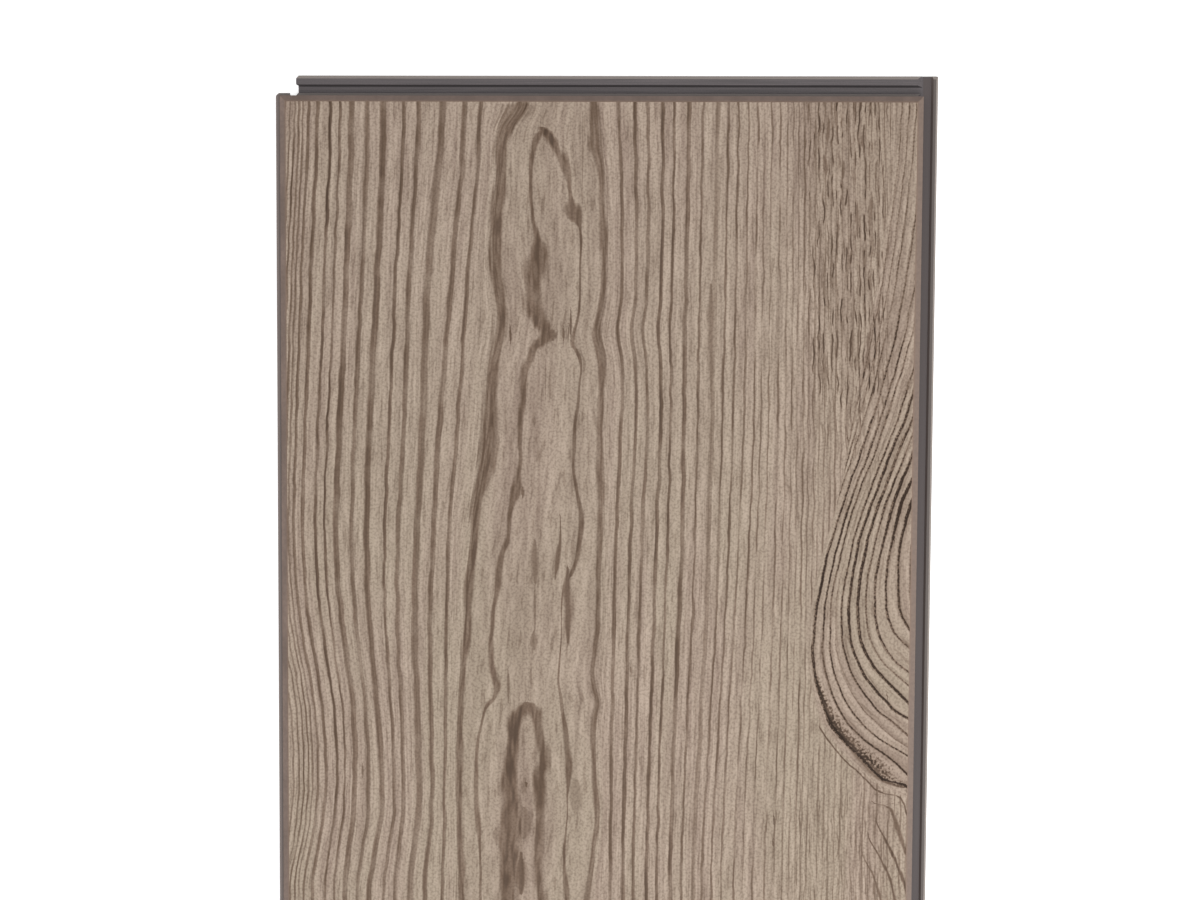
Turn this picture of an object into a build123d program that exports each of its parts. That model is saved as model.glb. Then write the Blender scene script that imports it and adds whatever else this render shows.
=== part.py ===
from build123d import *
import os

# A rigid click floor plank, lying face up: a composite core with milled click edges under a bevelled wear layer.
# X runs across the plank, Y along it and Z up. The origin is below the middle of the face, on the underside.
# All sizes are millimetres.

# Board
face_width = 187.0
face_length = 1251.0
core_thickness = 3.9
wear_layer = 0.6
bevel_width = 1.8
square_edge = 0.1  # left upright under the bevel

# Click joint, the same on the long and the short edges
play = 0.1  # between two planks that are locked together
strip_floor = 1.4  # height of the floor of a locking strip
lock_rise = 0.85  # locking bead above that floor
lock_run = 0.55  # lean of the bead's locking face
strip_room = 0.7  # free space in the recess beyond the strip

# Long edges: tongue on -X, locking strip on +X
tongue_reach = 1.4
tongue_nose = 0.4  # length of the rounded nose
tongue_thickness = 0.85
tongue_belly = 0.55  # rise of the leaning underside
side_floor = 2.45  # from the face to the bead's foot
side_strip = 4.4  # from the face to the strip's outer edge
side_edge_run = 0.6
side_edge_drop = 0.5

# Short edges: snap ledge and locking strip on +Y, hook on -Y
snap_reach = 0.9
snap_height = 0.45
snap_slope = 0.45
end_floor = 2.8
end_strip = 6.0
end_edge_run = 0.9
end_edge_drop = 0.6

# Places that follow from the sizes
right = face_width / 2
left = -right
far = face_length / 2
near = -far
bead_top = strip_floor + lock_rise
land = strip_floor + play  # underside that rests over the neighbour's strip
tongue_low = land + tongue_belly
tongue_top = tongue_low + tongue_thickness
snap_low = strip_floor + snap_height
snap_top = snap_low + snap_slope
bevel_drop = wear_layer - square_edge


def strip(face, floor_width, reach, edge_run, edge_drop):
    """Points of a locking strip, from its outer lower corner back to the foot of its bead."""
    return [
        (face + reach, 0),
        (face + reach, bead_top - edge_drop),
        (face + reach - edge_run, bead_top),
        (face + floor_width + lock_run, bead_top),
        (face + floor_width, strip_floor),
    ]


def recess(face, floor_width, reach, edge_drop):
    """Points of the recess that takes the neighbour's strip, from the land to the underside of the board."""
    lean = lock_run / lock_rise
    foot = face + floor_width - play + lean * play
    ceiling = bead_top + play
    wall = face + reach + strip_room
    return [
        (foot, land),
        (foot + lock_run, ceiling),
        (face + reach, ceiling),
        (wall, bead_top - edge_drop),
        (wall, 0),
    ]


def tongue(face, gap):
    """Points of the tongue, or of the groove round it with a gap, from its root on top to its root below."""
    shoulder = face - tongue_reach + tongue_nose
    return [
        (face, tongue_top + gap),
        (shoulder, tongue_top + gap),
        (face - tongue_reach - gap, (tongue_low + tongue_top) / 2),
        (shoulder, tongue_low - gap),
        (face, land - gap),
    ]


def snap(face, gap):
    """Points of the snap ledge, or of the cut that clears it with a gap, from the top down."""
    return [
        (face, snap_top + gap),
        (face + snap_reach + gap, snap_low + gap),
    ]


with BuildPart() as core_board:
    # Section across the plank, with the long edges
    with BuildSketch(Plane.XZ):
        with BuildLine():
            recess_line = Polyline(*recess(left, side_floor, side_strip, side_edge_drop))
            strip_line = Polyline(*strip(right, side_floor, side_strip, side_edge_run, side_edge_drop))
            groove_top, groove_shoulder, groove_end, groove_heel, groove_foot = tongue(right, play)
            Line(recess_line @ 1, strip_line @ 0)
            Polyline(strip_line @ 1, groove_foot, groove_heel)
            ThreePointArc(groove_heel, groove_end, groove_shoulder)
            root_top, shoulder, nose, heel, root = tongue(left, 0)
            Polyline(
                groove_shoulder,
                groove_top,
                (right, core_thickness),
                (left, core_thickness),
                root_top,
                shoulder,
            )
            ThreePointArc(shoulder, nose, heel)
            Polyline(heel, root, recess_line @ 0)
        make_face()
    extrude(amount=face_length, both=True)

    # Section along the plank, with the short edges
    with BuildSketch(Plane.YZ):
        with BuildLine():
            strip_points = strip(far, end_floor, end_strip, end_edge_run, end_edge_drop)
            recess_points = recess(near, end_floor, end_strip, end_edge_drop)
            snap_upper, snap_lower = snap(far, 0)
            cut_upper, cut_lower = snap(near, play)
            Polyline(
                *strip_points,
                (snap_lower[0], strip_floor),
                snap_lower,
                snap_upper,
                (far, core_thickness),
                (near, core_thickness),
                cut_upper,
                cut_lower,
                (cut_lower[0], land),
                *recess_points,
                close=True,
            )
        make_face()
    extrude(amount=face_width, both=True, mode=Mode.INTERSECT)

    # Each strip stops where the recess of the other edge crosses it
    with BuildSketch(Plane.XY):
        with Locations((left - tongue_reach, far + snap_reach)):
            Rectangle(tongue_reach + side_strip, end_strip, align=Align.MIN)
        with Locations((right, near)):
            Rectangle(side_strip, end_strip, align=Align.MIN)
    extrude(amount=core_thickness, mode=Mode.SUBTRACT)

    # The side strip's bead runs on through the far corner, across the groove of the end strip
    with BuildSketch(Plane.XZ.offset(-far)):
        with BuildLine():
            bead_points = strip(right, side_floor, side_strip, side_edge_run, side_edge_drop)
            Polyline(*bead_points, (right + side_floor, 0), close=True)
        make_face()
    extrude(amount=-(end_floor + lock_run))

with BuildPart() as decor_face:
    with BuildSketch(Plane.XY.offset(core_thickness)):
        Rectangle(face_width, face_length)
    extrude(amount=square_edge)
    with BuildSketch(Plane.XY.offset(core_thickness + square_edge)):
        Rectangle(face_width, face_length)
    with BuildSketch(Plane.XY.offset(core_thickness + square_edge + bevel_drop)):
        Rectangle(face_width - 2 * bevel_width, face_length - 2 * bevel_width)
    loft()

core_board.part.label = "core_board"
decor_face.part.label = "decor_face"

os.makedirs("parts", exist_ok=True)
export_step(core_board.part, "parts/core_board.step")
export_step(decor_face.part, "parts/decor_face.step")
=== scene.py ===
import math

import bpy
import numpy as np
from mathutils import Euler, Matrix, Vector


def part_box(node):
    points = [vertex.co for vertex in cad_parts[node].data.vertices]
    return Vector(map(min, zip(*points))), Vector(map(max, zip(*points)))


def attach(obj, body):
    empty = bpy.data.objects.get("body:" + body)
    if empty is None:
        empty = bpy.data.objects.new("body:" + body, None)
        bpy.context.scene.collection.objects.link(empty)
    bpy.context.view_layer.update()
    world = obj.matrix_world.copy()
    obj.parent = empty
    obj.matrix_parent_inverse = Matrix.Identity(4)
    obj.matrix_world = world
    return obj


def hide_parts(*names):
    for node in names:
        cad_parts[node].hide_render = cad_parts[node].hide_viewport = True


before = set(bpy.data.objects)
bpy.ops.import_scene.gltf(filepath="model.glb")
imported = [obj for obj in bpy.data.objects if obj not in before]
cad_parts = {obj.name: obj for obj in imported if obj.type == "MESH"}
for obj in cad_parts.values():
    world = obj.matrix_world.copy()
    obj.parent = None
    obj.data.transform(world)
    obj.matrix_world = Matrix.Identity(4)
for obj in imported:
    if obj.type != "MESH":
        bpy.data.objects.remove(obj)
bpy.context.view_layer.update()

# A click floor plank with a printed pine face, lying face up. Lengths are metres, as in the frame.
# The grain is laid out in the photo's pixels, 1200 wide and 900 high, and the camera carries it to the face.
# Grain points are (row, column) from the top down, and grain widths are in the same pixels.

# Camera, at the photo's viewing angle
PHOTO_WIDTH = 1200
PHOTO_HEIGHT = 900
LENS_MM = 60.0
SENSOR_MM = 36.0
CAMERA_PLACE = (0.0181, 0.5603, 0.5894)
CAMERA_TURN_DEG = (-3.68, 1.742, 0.3)
FOCAL_PX = LENS_MM / SENSOR_MM * PHOTO_WIDTH

# Mesh of the face: fine across the grain, and finer along it where the photo shows it
ACROSS_STEP = 0.00075
SEEN_STEP = 0.00105
UNSEEN_STEP = 0.008
SEEN_ROWS = 905
EDGE_STEPS = 5000  # places along the plank that are tried to find that row
SCALE_STEP = 0.001  # length over which the photo's scale is measured there

# The face's bake map, as shares of its square: the face's far ends each way, and the ends of the narrow
# strips beside it for the back and the edge
MAP_FACE = (0.96, 0.985)
MAP_BACK = (0.965, 0.995)
MAP_EDGE = (0.988, 0.999)

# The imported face: its outer box, the flat inside its bevel and the height of the bevel's foot
DECOR_LOW, DECOR_HIGH = (np.array(corner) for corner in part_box("decor_face"))
FACE_Z = DECOR_HIGH[2]
SAME_HEIGHT = 1e-6
decor_points = np.array([v.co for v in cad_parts["decor_face"].data.vertices])
is_flat = decor_points[:, 2] > FACE_Z - SAME_HEIGHT
FLAT_LOW = decor_points[is_flat].min(axis=0)
FLAT_HIGH = decor_points[is_flat].max(axis=0)
BEVEL_FOOT = decor_points[~is_flat, 2].max()

# Grain lines that steer the others. A grain line is named by its column at the top.
GUIDES = (
    ((102, 308), (268, 301), (448, 295), (536, 293), (628, 301), (715, 315), (808, 316), (898, 303)),
    ((102, 352), (268, 347), (448, 339), (536, 336), (628, 343), (715, 354), (808, 354), (898, 345)),
    ((102, 384), (268, 378), (448, 369), (536, 367), (628, 370), (715, 378), (808, 382), (898, 369)),
    ((102, 419), (268, 410), (448, 403), (536, 398), (628, 398), (715, 402), (808, 403), (898, 395)),
    ((102, 443), (268, 429), (448, 422), (536, 417), (628, 415), (715, 418), (808, 419), (898, 410)),
    ((102, 465), (268, 453), (448, 438), (536, 434), (628, 430), (715, 431), (808, 432), (898, 425)),
    ((102, 481), (268, 469), (448, 456), (536, 449), (628, 447), (715, 446), (808, 445), (898, 443)),
    (
        (102, 520), (128, 505.5), (176, 500.5), (268, 495.5), (322, 501.5), (372, 492.5), (448, 487.5),
        (490, 481), (515, 476.5), (551, 472.5), (591, 468), (628, 466.5), (715, 460.5), (898, 461),
    ),
    (
        (102, 593), (133, 595.5), (152, 597), (168, 600), (184, 601), (308, 600.5), (331, 596), (364, 602),
        (403, 601), (448, 600), (500, 601), (584, 598), (620, 598), (652, 594.8), (673, 592.4), (687, 594),
        (703, 597), (716, 594.8), (732, 594), (779, 594.5), (810, 597), (845, 594), (893, 588),
    ),
    ((102, 619), (300, 620.5), (331, 618), (371, 622.5), (450, 619.5), (536, 616), (716, 612), (893, 610)),
    ((102, 648), (300, 646), (335, 643.5), (368, 646.5), (536, 642), (716, 637), (893, 633)),
    ((102, 689), (332, 685), (536, 682), (716, 675), (893, 670)),
    ((102, 729), (332, 725), (440, 722.7), (536, 719), (630, 716.3), (716, 711), (893, 702)),
    ((102, 749), (260, 746.6), (440, 743.4), (630, 733.8), (710, 729), (899, 721)),
    ((102, 800), (332, 799), (536, 797), (716, 794), (893, 790)),
)

# Grain lines that swing round the knot and cut off the upright ones, with names of their own
KNOT_GUIDES = (
    (
        (102, 889), (150, 886), (182, 883.6), (206, 880), (231, 876.6), (259, 873), (288, 869.5),
        (326, 862), (353, 856.5), (380, 851), (410, 846), (450, 840), (500, 829), (540, 816), (560, 811),
        (591, 805), (632, 799), (646, 798), (680, 800), (724, 807), (760, 822), (783, 836), (800, 850),
        (839, 871.8), (877, 889.3), (900, 894.9),
    ),
    (
        (102, 916), (152, 913), (182, 909.6), (206, 906.4), (233, 903), (260, 898.8), (288, 894.4),
        (326, 887), (353, 881), (380, 874.5), (410, 866.5), (450, 854), (500, 837), (540, 824), (560, 818),
        (591, 811.5), (632, 805.5), (646, 805), (680, 808), (700, 811.5), (724, 819), (738, 826.5),
        (749, 835), (760.6, 845), (772, 858), (783, 869), (791, 878.6), (794, 886.7), (796, 896),
        (801, 902), (812, 906), (823, 908.7), (845, 914), (900, 922),
    ),
    (
        (102, 922), (150, 919.5), (190, 918), (210, 916), (240, 912), (270, 907), (300, 902), (330, 896.5),
        (360, 889), (387, 882), (412, 875), (450, 862), (500, 844.5), (540, 831.6), (560, 825.7),
        (591, 819.4), (611, 815.6), (632, 813.4), (646, 812.9), (662, 813.4), (678, 815.3), (695, 819),
        (708, 823.5), (724, 829.6), (735, 837.8), (743, 845), (754.5, 857), (763, 865.3), (776, 877.6),
        (781, 884.7), (784, 902), (787, 908.7), (800, 925), (900, 934),
    ),
    (
        (102, 945), (240, 931), (280, 924), (309, 917), (335, 911.5), (349, 907), (375, 901), (390, 895.5),
        (410, 889.7), (427, 884), (450, 876.5), (500, 856.6), (540, 844.4), (560, 839.8), (591, 832.1),
        (611, 830.6), (632, 830.2), (652, 830.4), (668, 832.7), (683, 837.8), (694, 841.3), (706, 848),
        (721, 860), (732, 871.4), (740, 881.6), (747, 893.9), (756.5, 908.7), (775, 930), (900, 945),
    ),
    (
        (102, 972), (270, 946), (330, 932), (360, 923), (387, 915), (398, 911.5), (410, 907.5), (429, 901),
        (450, 891.8), (500, 873), (540, 859.2), (560, 855.6), (591, 850), (611, 848.5), (627, 849),
        (642, 851), (655, 855), (670, 861.2), (682, 869), (691, 875.5), (702, 885.7), (712, 895.9),
        (719, 908.7), (740, 935), (900, 957),
    ),
    (
        (102, 996), (330, 953), (400, 932), (450, 913.8), (500, 894.9), (540, 883.7), (560, 879.6),
        (591, 874.5), (609, 875), (625, 877), (642, 881.6), (655, 888.8), (664.5, 896.9), (674, 910.2),
        (700, 945), (900, 969),
    ),
    (
        (102, 1020), (330, 985), (450, 940), (500, 912.8), (540, 901), (560, 898.5), (581, 898.2),
        (597, 898.5), (610, 900.5), (622, 905), (632, 911.7), (660, 955), (900, 990),
    ),
)
KNOT_NAMES = (886, 916, 925, 938, 955.5, 979.5, 1002)

# Where the knot's lines take over from the upright ones: the grain line's name above the knot and beside it,
# and the rows between which it changes
KNOT_EDGE = (895, 919)
KNOT_EDGE_ROWS = (410, 520)
KNOT_EDGE_BLEND = 1.5

KNOT_RIM = slice(20, 32)  # points of the second guide along the knot's lower edge
MARGIN_PX = 120  # the outermost lines are repeated this far out
LEAST_GAP_PX = 0.5  # between two guides

# Latewood lines: (name, half width, darkness, softness of the edges). The figure has none, so its names have
# no darkness.
LINES = (
    (260, 1.0, 0.6, 0.8), (266, 1.0, 0.6, 0.8), (272, 1.0, 0.6, 0.8), (278, 1.2, 0.6, 0.8),
    (284.5, 1.0, 0.7, 0.8), (290, 0.9, 0.9, 0.8), (294.5, 1.0, 0.95, 0.8), (299.3, 1.2, 0.9, 0.8),
    (303, 0.9, 0.7, 0.8), (308.3, 1.5, 0.85, 1.0), (317.4, 2.0, 0.92, 1.1), (330.7, 1.6, 1.0, 1.0),
    (339.8, 1.1, 1.0, 0.8), (351.5, 3.5, 0.9, 1.4), (367.8, 2.0, 0.8, 1.3), (383.5, 3.4, 0.9, 1.6),
    (404, 1.7, 0.92, 1.0), (418.5, 2.3, 0.85, 1.3), (442.5, 3.8, 0.8, 1.8), (464.8, 2.6, 0.86, 1.2),
    (480.7, 2.0, 0.9, 1.3), (500, 0.8, 0.0, 0.8), (560, 0.8, 0.0, 0.8), (606, 0.8, 0.0, 0.8),
    (619, 1.9, 0.9, 1.2), (635.3, 1.8, 0.9, 1.1), (648, 1.6, 0.85, 1.1), (663, 1.8, 0.95, 1.1),
    (674, 1.2, 0.95, 0.8), (689, 2.3, 0.9, 1.2), (703, 1.1, 0.85, 0.8), (718, 2.4, 0.6, 1.8),
    (728.5, 1.0, 0.85, 0.8), (738.7, 1.1, 0.85, 0.8), (749, 1.0, 0.75, 0.8), (758.5, 1.0, 0.85, 0.7),
    (765, 0.8, 0.7, 0.7), (772, 0.8, 0.7, 0.7), (781, 1.0, 0.8, 0.7), (788, 0.8, 0.7, 0.7),
    (794, 0.8, 0.7, 0.7), (799, 0.7, 0.6, 0.7), (805, 1.0, 0.8, 0.7), (810, 0.7, 0.6, 0.7),
    (816, 0.9, 0.7, 0.7), (820.5, 0.7, 0.55, 0.7), (826, 0.9, 0.7, 0.7), (832, 0.8, 0.6, 0.7),
    (837, 1.0, 0.7, 0.7), (843, 0.7, 0.55, 0.7), (849, 0.9, 0.7, 0.7), (854, 0.7, 0.55, 0.7),
    (860, 0.9, 0.65, 0.7), (866, 0.7, 0.55, 0.7), (872, 0.9, 0.65, 0.7), (878, 0.8, 0.6, 0.7),
    (885, 0.9, 0.7, 0.7), (891, 0.8, 0.7, 0.7), (897, 0.9, 0.7, 0.7), (903, 0.8, 0.65, 0.7),
    (909, 0.9, 0.7, 0.7), (916, 0.8, 0.65, 0.7), (922, 0.8, 0.65, 0.7),
)
KNOT_LINES = (
    (886, 0.8, 0.5, 0.8), (893, 0.8, 0.6, 0.8), (900.4, 0.9, 0.8, 0.8), (908.2, 0.9, 0.8, 0.8),
    (916, 0.9, 0.85, 0.8), (925, 1.3, 1.1, 0.9), (932.5, 1.2, 1.1, 0.9), (938, 1.1, 1.05, 0.9),
    (943, 0.6, 0.55, 0.8), (948.5, 1.2, 1.0, 0.9), (955.5, 1.6, 1.15, 0.9), (964, 1.7, 1.15, 1.0),
    (971.5, 1.0, 0.85, 0.9), (979.5, 1.5, 1.05, 1.0), (990, 1.4, 1.05, 1.0), (1002, 1.5, 1.05, 1.0),
    (1014, 1.2, 0.9, 0.9), (1026, 1.2, 0.8, 0.9),
)

# Single strokes of the figure and the knot: path, half widths along it and darkness
STROKES = {
    "band": (
        GUIDES[7],
        (
            (102, 12), (128, 8), (150, 7), (176, 5), (200, 6.5), (230, 6.5), (268, 6), (300, 4.5),
            (322, 5.5), (372, 4.5), (448, 8), (465, 8.5), (480, 6.5), (515, 5.5), (551, 3.3), (591, 3.6),
            (628, 3.8), (715, 3.2), (898, 3.5),
        ),
        0.95,
    ),
    "right_band": (
        GUIDES[8],
        (
            (102, 4.8), (133, 5.5), (150, 5.6), (165, 3.2), (190, 3.2), (270, 3.5), (320, 3), (335, 4.4),
            (350, 4.2), (370, 3.6), (448, 3), (480, 3.4), (530, 3.2), (600, 2.2), (650, 2.4), (672, 2),
            (700, 3), (760, 2.2), (790, 3), (845, 2.4), (899, 2.8),
        ),
        0.88,
    ),
    "figure_left": (
        (
            (131, 540), (135, 538), (139, 536), (152, 532.6), (168, 531.3), (204, 531.3), (219, 533.4),
            (231.5, 536.5), (241, 538.5), (250, 537.5), (262, 534), (276, 532.5), (292, 531.5),
            (302, 530.5), (310, 532), (320, 539), (330, 546), (337, 547), (343, 541), (351, 533),
            (359, 529.4), (368, 525.4), (378, 523), (400, 523), (419, 520.2), (440, 519.9), (459, 521),
            (472, 518.3), (485, 517.5), (493, 515.9), (504, 512.7), (513, 510.3), (529, 508.7),
            (542, 506.3), (552, 502.3), (566, 499.9), (579, 498.8), (593, 496.7), (604, 494.3), (630, 492),
            (644, 490.8), (660, 491.2), (676, 494.3), (689, 496.7), (698, 493.6), (704.5, 488),
            (711, 484.8), (717, 483.2), (742, 477.3), (774, 476.5), (822, 477.3), (838, 479), (899, 480.5),
            (1010, 486), (1110, 500), (1200, 512),
        ),
        (
            (131, 2.4), (138, 3), (152, 2.4), (190, 1.8), (220, 2), (236, 3), (250, 6.2), (262, 8.4),
            (292, 7.4), (302, 8.2), (312, 7.2), (330, 6), (338, 5), (345, 4), (360, 3.6), (387, 2.8),
            (440, 2.2), (475, 2.6), (492, 4.2), (504, 3), (530, 2.2), (560, 3), (580, 2.8), (595, 2.2),
            (660, 2.6), (688, 3), (700, 2), (742, 1.5), (830, 2.2), (845, 1.5), (899, 1.6), (1200, 3.2),
        ),
        0.87,
    ),
    "figure_right": (
        (
            (127, 541.5), (133, 546), (140.6, 552), (155, 560.5), (166, 564.5), (177, 567.7), (188, 569.3),
            (200, 571.5), (213, 574.5), (222, 577.5), (228, 579.4), (270, 580), (300, 579.6), (313, 578.5),
            (324, 576.5), (336.5, 573.5), (346, 573.5), (351, 576.5), (356, 578.9), (388, 579.2),
            (408, 577.3), (419, 575.7), (440, 574.4), (472, 573.8), (486, 575.7), (499, 578), (512, 580.4),
            (526, 581.2), (539, 580), (550, 578), (563, 575.7), (572, 572.5), (585, 565), (600, 562),
            (620, 561.3), (644, 561), (668, 558.9), (682, 558.1), (696, 560.5), (711, 562.1), (728, 565.3),
            (748, 566.9), (777, 568.5), (798, 567), (814, 567.4), (837, 565.3), (853, 563.7), (869, 564.5),
            (899, 567), (1010, 562), (1110, 549), (1200, 539),
        ),
        (
            (127, 3.6), (133, 4.4), (140, 4.8), (155, 5), (170, 4), (185, 2.4), (200, 3), (207, 6.5),
            (218, 6.5), (226, 2), (240, 1.3), (320, 1.3), (350, 1.8), (360, 1.3), (440, 1.8), (475, 1.6),
            (500, 1.9), (540, 2.6), (572, 2), (590, 1.2), (690, 1.2), (720, 1.8), (745, 2.6), (775, 3),
            (790, 1.4), (850, 1.3), (899, 2.6), (1200, 2.2),
        ),
        0.92,
    ),
    "inner_left": (
        (
            (702, 527), (706, 524.5), (712, 520.5), (718, 516.5), (726, 513.8), (740, 512.7), (755.5, 511),
            (779, 510.3), (806, 511.4), (825, 512), (853, 509), (899, 508.5), (970, 511), (1060, 519),
            (1120, 525.5),
        ),
        (
            (702, 3.5), (706, 5), (712, 6.5), (718, 6.8), (726, 6.2), (740, 5.2), (756, 6), (780, 7.5),
            (806, 9), (825, 11), (840, 9), (855, 8.5), (899, 8), (970, 3.5), (1060, 2), (1120, 1.2),
        ),
        0.92,
    ),
    "inner_right": (
        (
            (702, 528), (706, 531), (712, 534.5), (718, 536.8), (726, 538), (736, 539.8), (755.5, 543.8),
            (765, 543.5), (773, 540), (787, 538.5), (806, 539), (822, 539.8), (845, 539), (869, 538.2),
            (885, 539.8), (899, 542.2), (970, 540), (1060, 533), (1120, 527),
        ),
        (
            (702, 3.5), (706, 5), (712, 6), (718, 5.6), (726, 5), (736, 4.5), (755, 4.8), (770, 6),
            (790, 6), (810, 4.6), (845, 4.2), (870, 4), (899, 4.6), (970, 3), (1060, 2), (1120, 1.2),
        ),
        0.92,
    ),
    "knot_char": (
        (
            (672, 815), (690, 820.5), (705, 826), (718, 831.5), (730, 838.5), (742, 849), (754, 860.5),
            (764, 870.5), (773, 878), (779, 884), (783.5, 893), (789, 907),
        ),
        (
            (672, 1.2), (700, 2), (715, 3.6), (735, 4.2), (750, 4.6), (762, 6), (772, 6.5), (777, 4.6),
            (782, 2.8), (789, 2.6),
        ),
        1.12,
    ),
}

# Thin strokes in the figure and at the knot, in the same form
THIN_STROKES = {
    "fleck": (
        ((514, 560.2), (540, 560), (552, 558.2), (566, 556.5), (580, 555)),
        ((514, 0.5), (538, 1.1), (552, 2.4), (566, 2.4), (580, 0.6)),
        0.85,
    ),
    "knot_rim": (KNOT_GUIDES[1][KNOT_RIM], ((720, 0.9), (830, 0.9)), 1.05),
    "fan_first": (
        (
            (801, 872), (804, 880), (807, 887.7), (813.6, 892.5), (828, 897.3), (845.5, 903.6),
            (858, 908.4), (880, 914),
        ),
        ((801, 0.5), (810, 1.6), (880, 1.5)),
        0.95,
    ),
    "fan_second": (
        ((818, 876), (840.7, 886), (861.5, 895.7), (882, 903.6), (900, 907.6), (930, 912)),
        ((818, 0.5), (840, 1.3), (930, 1.3)),
        1.05,
    ),
    "fan_third": (
        ((832, 868), (860, 881.3), (877, 889.3), (900, 894.9), (960, 908)),
        ((832, 0.5), (860, 1.2), (960, 1.2)),
        1.0,
    ),
    "fan_fourth": (
        ((850, 862), (875, 873), (900, 881), (960, 893)),
        ((850, 0.5), (875, 1.1), (960, 1.1)),
        0.9,
    ),
}

# The figure beyond the part that the photo shows: rows of its waists, (column of the middle, half width) of
# the bellies between them, and the belly's outline as (share of the way between waists, share of its width)
FAR_WAISTS = (1200, 1660, 1890, 2490, 2780, 3460, 3690, 4330)
FAR_BELLIES = ((527, 27), (533, 17), (538, 33), (530, 19), (525, 30), (532, 18), (536, 29))
FAR_SHAPE = ((0.2, 0.75), (0.5, 1.0), (0.8, 0.8))

RUN_ON = ("band", "right_band")  # strokes beside the figure that go straight on there

# The figure's strokes there: (side, share of the belly's width, distance from the middle at a waist, half
# width at a waist, half width between waists)
FAR_SIDES = {
    "figure_left": (-1, 1.0, 14, 3.2, 2.4),
    "figure_right": (1, 1.0, 11, 2.2, 2.0),
    "inner_left": (-1, 0.42, 0, 0.6, 1.9),
    "inner_right": (1, 0.34, 0, 0.6, 1.5),
}

# Ends and reach of the marks
END_PX = 0.4  # past its end, a mark thins away over about this many pixels
DASH_TAPER = 0.35  # share of a short mark over which it narrows at each end
DASH_TIP = 0.3
MARK_REACH = 1.8  # half widths from its middle to where a small mark has no darkness left
MARK_ROOM = 3.4  # least distance for that, a little more than the mesh's step
FAR_OFF = 60.0  # a place beside a mark is never given as more than this

# Short upright marks: (column, first row, last row, half width, darkness)
DASHES = (
    (510.3, 325, 345, 1.1, 0.9), (570.9, 309, 340, 1.1, 1.0), (563.5, 325, 343, 1.1, 0.8),
    (534.2, 415, 427, 2, 0.45), (545.4, 359, 400, 0.7, 0.4), (568, 566, 646, 4.6, 0.95),
    (535, 538, 586, 4, 0.55), (535, 584, 632, 1.2, 0.55), (534, 632, 650, 4, 0.5),
    (522.5, 486, 498, 2.5, 0.8), (508, 668, 703, 1.4, 0.6), (526, 780, 788, 1.5, 0.8),
    (520.5, 852, 896, 5.5, 0.85), (362.5, 763, 779, 1.2, 0.8), (481.3, 828, 836, 1.5, 0.5),
    (496.4, 826, 845, 3, 0.4), (774, 813.6, 828, 0.8, 1.0), (773, 837.5, 849, 0.8, 1.0),
    (630.7, 665, 676, 0.9, 0.8), (429, 242, 252, 3, 0.45), (582.5, 112, 190, 0.8, 0.45),
    (893.4, 533, 541, 1.2, 1.2), (848, 436, 443, 1, 1.0), (887.2, 692, 700, 0.8, 0.9),
    (711, 283, 392, 4.0, 0.7), (552.5, 328, 341, 5, 0.75), (576, 778, 816, 7, 0.35),
    (524, 806, 840, 7, 0.5),
)

# Bends of the grain past the photo's lower edge: waves as (swing, rows for each radian, phase), rows over
# which they reach half their size, and the share of them at the face's left and right columns
WANDER_WAVES = ((11, 190, 0), (6, 83, 1.1), (8, 410, 2))
WANDER_ROWS = 150
WANDER_SHARES = (1.2, 0.4)
FACE_COLUMNS = (290, 920)

# Pixels between lines: off the flat of the face, and the least and most on it
SPACING_ELSEWHERE = 8.0
SPACING_RANGE = (1.5, 60)
LEAST_SLOPE = 1.0  # lines a metre, so that no spacing is endless

# The upright lines are thinner and fainter at the lower left
PALE_ROWS = (380, 800)
PALE_COLUMNS = (400, 480)
PALE_THINNER = 0.16
PALE_FAINTER = 0.1

# The knot's lines: (width, darkness) of all, and what is added above the knot, at its darkest place, along
# its rim and in its middle. One line fades out above the rows given last.
KNOT_LOOKS = (0.85, 1.03)
ABOVE_ADDS = (-0.1, -0.23)
ABOVE_ROWS = (330, 460)
EMBER_ADDS = (0.4, 0.35)
EMBER_COLUMN, EMBER_WIDTH = 897, 16
EMBER_ROW, EMBER_HEIGHT = 500, 32
RIM_ADDS = (0.4, 0.2)
RIM_NAME, RIM_WIDTH = 925, 3
RIM_ROWS = (530, 580)
MIDDLE_ADDS = (0.2, 0.0)
MIDDLE_NAME, MIDDLE_WIDTH = 960, 6
MIDDLE_ROW, MIDDLE_HEIGHT = 600, 40
FAINT_NAME, FAINT_WIDTH = 943, 2.5
FAINT_ROWS = (560, 610)

# Noises of the print: cycles for each pixel across the grain and along it
FIBRE_SCALE = (0.25, 0.025)
STREAK_SCALE = (0.15, 0.006)
HATCH_SCALE = (0.3, 0.032)
PATCH_SCALE = (0.02, 0.003)
GRAIN_SCALE = 0.4
NOISE_RANGE = (0.3, 0.7)  # nearly all of a noise lies between these

# Latewood lines: how far they sway, how far the fibre frays them, the noise that makes them come and go, and
# the name past which they do so more
SWAY_SCALE = (0.02, 0.035)
SWAY_PX = 3.2
FACE_FRAY = 1.8
KNOT_FRAY = 0.9
STRENGTH_SCALE = (3.7, 0.014)
FACE_FADING = 735
KNOT_FADING = 2000  # past all names
FADING_WIDTH = 30
SOFT_SHARE = 0.75

# How far the fibre breaks up the strokes and small marks, in half widths, and the grain the knot's char
STROKE_BREAK_UP = 1.7
MARK_BREAK_UP = 1.4
CHAR_CRUMBLE = 4.4
MARK_ENDS = (9.0, 6.0)  # pixels from its middle, from none of a small mark to all of it

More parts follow.
